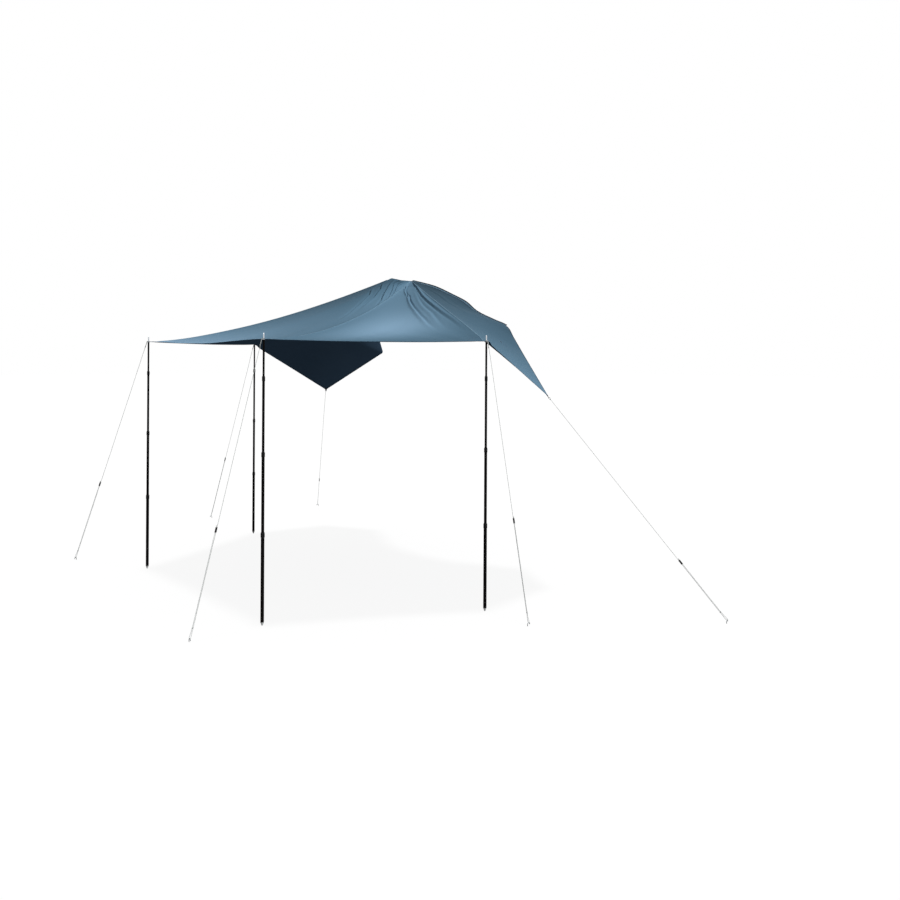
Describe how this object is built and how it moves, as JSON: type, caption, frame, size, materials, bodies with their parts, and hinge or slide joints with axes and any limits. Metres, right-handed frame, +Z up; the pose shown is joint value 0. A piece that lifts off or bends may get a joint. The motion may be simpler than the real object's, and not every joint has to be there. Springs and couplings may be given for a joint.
{
  "type": "vehicle side awning",
  "caption": "Side awning with a cloth canopy hung from a peak strap, telescopic poles, hanging side wings, and guy lines with runners and ground pegs.",
  "frame": {"origin": "on the ground, at the bottom centre of the awning's box (the guy lines and their pegs left out)", "axes": "+X along the vehicle, to the right when facing it, +Y toward the vehicle, +Z up"},
  "size_m": [6.2887, 3.5595, 2.7345],
  "materials": {
    "canopy_cloth": "matte",
    "band_cloth": "matte",
    "webbing": "matte",
    "black_tube": "satin",
    "lock_plastic": "satin",
    "foot_plastic": "satin",
    "pin_steel": "satin",
    "peg_steel": "satin",
    "cord_braid": "matte"
  },
  "bodies": {
    "canopy_frame": {"canopy": "canopy_cloth", "edge_band": "band_cloth", "front_left_cord": "cord_braid", "front_left_peg": "peg_steel", "front_left_top_pin": "pin_steel", "front_left_tube_4": "black_tube", "front_right_cord": "cord_braid", "front_right_peg": "peg_steel", "front_right_top_pin": "pin_steel", "front_right_tube_4": "black_tube", "peak_buckle": "lock_plastic", "peak_strap": "webbing", "side_left_cord": "cord_braid", "side_left_peg": "peg_steel", "side_left_top_pin": "pin_steel", "side_left_tube_4": "black_tube", "side_right_cord": "cord_braid", "side_right_peg": "peg_steel", "side_right_top_pin": "pin_steel", "side_right_tube_4": "black_tube", "wing_left_cord": "cord_braid", "wing_left_peg": "peg_steel", "wing_left_tab": "webbing", "wing_right_cord": "cord_braid", "wing_right_peg": "peg_steel", "wing_right_tab": "webbing"},
    "front_left_section_1": {"front_left_foot": "foot_plastic", "front_left_tube_1": "black_tube"},
    "front_left_section_2": {"front_left_tube_2": "black_tube"},
    "front_left_section_3": {"front_left_tube_3": "black_tube"},
    "front_left_lock_1": {"front_left_collar_1": "lock_plastic"},
    "front_left_lock_2": {"front_left_collar_2": "lock_plastic"},
    "front_left_lock_3": {"front_left_collar_3": "lock_plastic"},
    "front_right_section_1": {"front_right_foot": "foot_plastic", "front_right_tube_1": "black_tube"},
    "front_right_section_2": {"front_right_tube_2": "black_tube"},
    "front_right_section_3": {"front_right_tube_3": "black_tube"},
    "front_right_lock_1": {"front_right_collar_1": "lock_plastic"},
    "front_right_lock_2": {"front_right_collar_2": "lock_plastic"},
    "front_right_lock_3": {"front_right_collar_3": "lock_plastic"},
    "side_right_section_1": {"side_right_foot": "foot_plastic", "side_right_tube_1": "black_tube"},
    "side_right_section_2": {"side_right_tube_2": "black_tube"},
    "side_right_section_3": {"side_right_tube_3": "black_tube"},
    "side_right_lock_1": {"side_right_collar_1": "lock_plastic"},
    "side_right_lock_2": {"side_right_collar_2": "lock_plastic"},
    "side_right_lock_3": {"side_right_collar_3": "lock_plastic"},
    "side_left_section_1": {"side_left_foot": "foot_plastic", "side_left_tube_1": "black_tube"},
    "side_left_section_2": {"side_left_tube_2": "black_tube"},
    "side_left_section_3": {"side_left_tube_3": "black_tube"},
    "side_left_lock_1": {"side_left_collar_1": "lock_plastic"},
    "side_left_lock_2": {"side_left_collar_2": "lock_plastic"},
    "side_left_lock_3": {"side_left_collar_3": "lock_plastic"},
    "front_left_slider": {"front_left_runner": "lock_plastic"},
    "front_right_slider": {"front_right_runner": "lock_plastic"},
    "side_right_slider": {"side_right_runner": "lock_plastic"},
    "side_left_slider": {"side_left_runner": "lock_plastic"},
    "wing_left_slider": {"wing_left_runner": "lock_plastic"},
    "wing_right_slider": {"wing_right_runner": "lock_plastic"}
  },
  "joints": [
    {"name": "front_left_slide_3", "type": "slide", "parent": "canopy_frame", "child": "front_left_section_3", "axis": [0, 0, 1], "range_m": [-0.28, 0.25]},
    {"name": "front_left_slide_2", "type": "slide", "parent": "front_left_section_3", "child": "front_left_section_2", "axis": [0, 0, 1], "range_m": [-0.03, 0.5]},
    {"name": "front_left_slide_1", "type": "slide", "parent": "front_left_section_2", "child": "front_left_section_1", "axis": [0, 0, 1], "range_m": [0, 0.54]},
    {"name": "front_left_twist_1", "type": "hinge", "parent": "front_left_section_1", "child": "front_left_lock_1", "pos_m": [-1.09, -1.34281, 0.664], "axis": [0, 0, 1], "range_deg": [0, 90]},
    {"name": "front_left_twist_2", "type": "hinge", "parent": "front_left_section_2", "child": "front_left_lock_2", "pos_m": [-1.09, -1.34281, 1.253], "axis": [0, 0, 1], "range_deg": [0, 90]},
    {"name": "front_left_twist_3", "type": "hinge", "parent": "front_left_section_3", "child": "front_left_lock_3", "pos_m": [-1.09, -1.34281, 1.809], "axis": [0, 0, 1], "range_deg": [0, 90]},
    {"name": "front_right_slide_3", "type": "slide", "parent": "canopy_frame", "child": "front_right_section_3", "axis": [0, 0, 1], "range_m": [-0.28, 0.25]},
    {"name": "front_right_slide_2", "type": "slide", "parent": "front_right_section_3", "child": "front_right_section_2", "axis": [0, 0, 1], "range_m": [-0.03, 0.5]},
    {"name": "front_right_slide_1", "type": "slide", "parent": "front_right_section_2", "child": "front_right_section_1", "axis": [0, 0, 1], "range_m": [0, 0.54]},
    {"name": "front_right_twist_1", "type": "hinge", "parent": "front_right_section_1", "child": "front_right_lock_1", "pos_m": [1.09, -1.34281, 0.664], "axis": [0, 0, 1], "range_deg": [0, 90]},
    {"name": "front_right_twist_2", "type": "hinge", "parent": "front_right_section_2", "child": "front_right_lock_2", "pos_m": [1.09, -1.34281, 1.253], "axis": [0, 0, 1], "range_deg": [0, 90]},
    {"name": "front_right_twist_3", "type": "hinge", "parent": "front_right_section_3", "child": "front_right_lock_3", "pos_m": [1.09, -1.34281, 1.809], "axis": [0, 0, 1], "range_deg": [0, 90]},
    {"name": "side_right_slide_3", "type": "slide", "parent": "canopy_frame", "child": "side_right_section_3", "axis": [0, 0, 1], "range_m": [-0.28, 0.25]},
    {"name": "side_right_slide_2", "type": "slide", "parent": "side_right_section_3", "child": "side_right_section_2", "axis": [0, 0, 1], "range_m": [-0.03, 0.5]},
    {"name": "side_right_slide_1", "type": "slide", "parent": "side_right_section_2", "child": "side_right_section_1", "axis": [0, 0, 1], "range_m": [0, 0.54]},
    {"name": "side_right_twist_1", "type": "hinge", "parent": "side_right_section_1", "child": "side_right_lock_1", "pos_m": [1.875, 0.15719, 0.664], "axis": [0, 0, 1], "range_deg": [0, 90]},
    {"name": "side_right_twist_2", "type": "hinge", "parent": "side_right_section_2", "child": "side_right_lock_2", "pos_m": [1.875, 0.15719, 1.253], "axis": [0, 0, 1], "range_deg": [0, 90]},
    {"name": "side_right_twist_3", "type": "hinge", "parent": "side_right_section_3", "child": "side_right_lock_3", "pos_m": [1.875, 0.15719, 1.809], "axis": [0, 0, 1], "range_deg": [0, 90]},
    {"name": "side_left_slide_3", "type": "slide", "parent": "canopy_frame", "child": "side_left_section_3", "axis": [0, 0, 1], "range_m": [-0.28, 0.25]},
    {"name": "side_left_slide_2", "type": "slide", "parent": "side_left_section_3", "child": "side_left_section_2", "axis": [0, 0, 1], "range_m": [-0.03, 0.5]},
    {"name": "side_left_slide_1", "type": "slide", "parent": "side_left_section_2", "child": "side_left_section_1", "axis": [0, 0, 1], "range_m": [0, 0.54]},
    {"name": "side_left_twist_1", "type": "hinge", "parent": "side_left_section_1", "child": "side_left_lock_1", "pos_m": [-1.875, 0.15719, 0.664], "axis": [0, 0, 1], "range_deg": [0, 90]},
    {"name": "side_left_twist_2", "type": "hinge", "parent": "side_left_section_2", "child": "side_left_lock_2", "pos_m": [-1.875, 0.15719, 1.253], "axis": [0, 0, 1], "range_deg": [0, 90]},
    {"name": "side_left_twist_3", "type": "hinge", "parent": "side_left_section_3", "child": "side_left_lock_3", "pos_m": [-1.875, 0.15719, 1.809], "axis": [0, 0, 1], "range_deg": [0, 90]},
    {"name": "front_left_runner_slide", "type": "slide", "parent": "canopy_frame", "child": "front_left_slider", "axis": [-0.3291, -0.1746, -0.928], "range_m": [0, 0.25]},
    {"name": "front_right_runner_slide", "type": "slide", "parent": "canopy_frame", "child": "front_right_slider", "axis": [0.0028, -0.2497, -0.9683], "range_m": [0, 0.25]},
    {"name": "side_right_runner_slide", "type": "slide", "parent": "canopy_frame", "child": "side_right_slider", "axis": [0.2133, -0.0036, -0.977], "range_m": [0, 0.25]},
    {"name": "side_left_runner_slide", "type": "slide", "parent": "canopy_frame", "child": "side_left_slider", "axis": [-0.4746, 0.0162, -0.8801], "range_m": [0, 0.25]},
    {"name": "wing_left_runner_slide", "type": "slide", "parent": "canopy_frame", "child": "wing_left_slider", "axis": [-0.5706, 0.3073, -0.7615], "range_m": [0, 0.25]},
    {"name": "wing_right_runner_slide", "type": "slide", "parent": "canopy_frame", "child": "wing_right_slider", "axis": [0.6744, 0.1453, -0.7239], "range_m": [0, 0.25]}
  ]
}
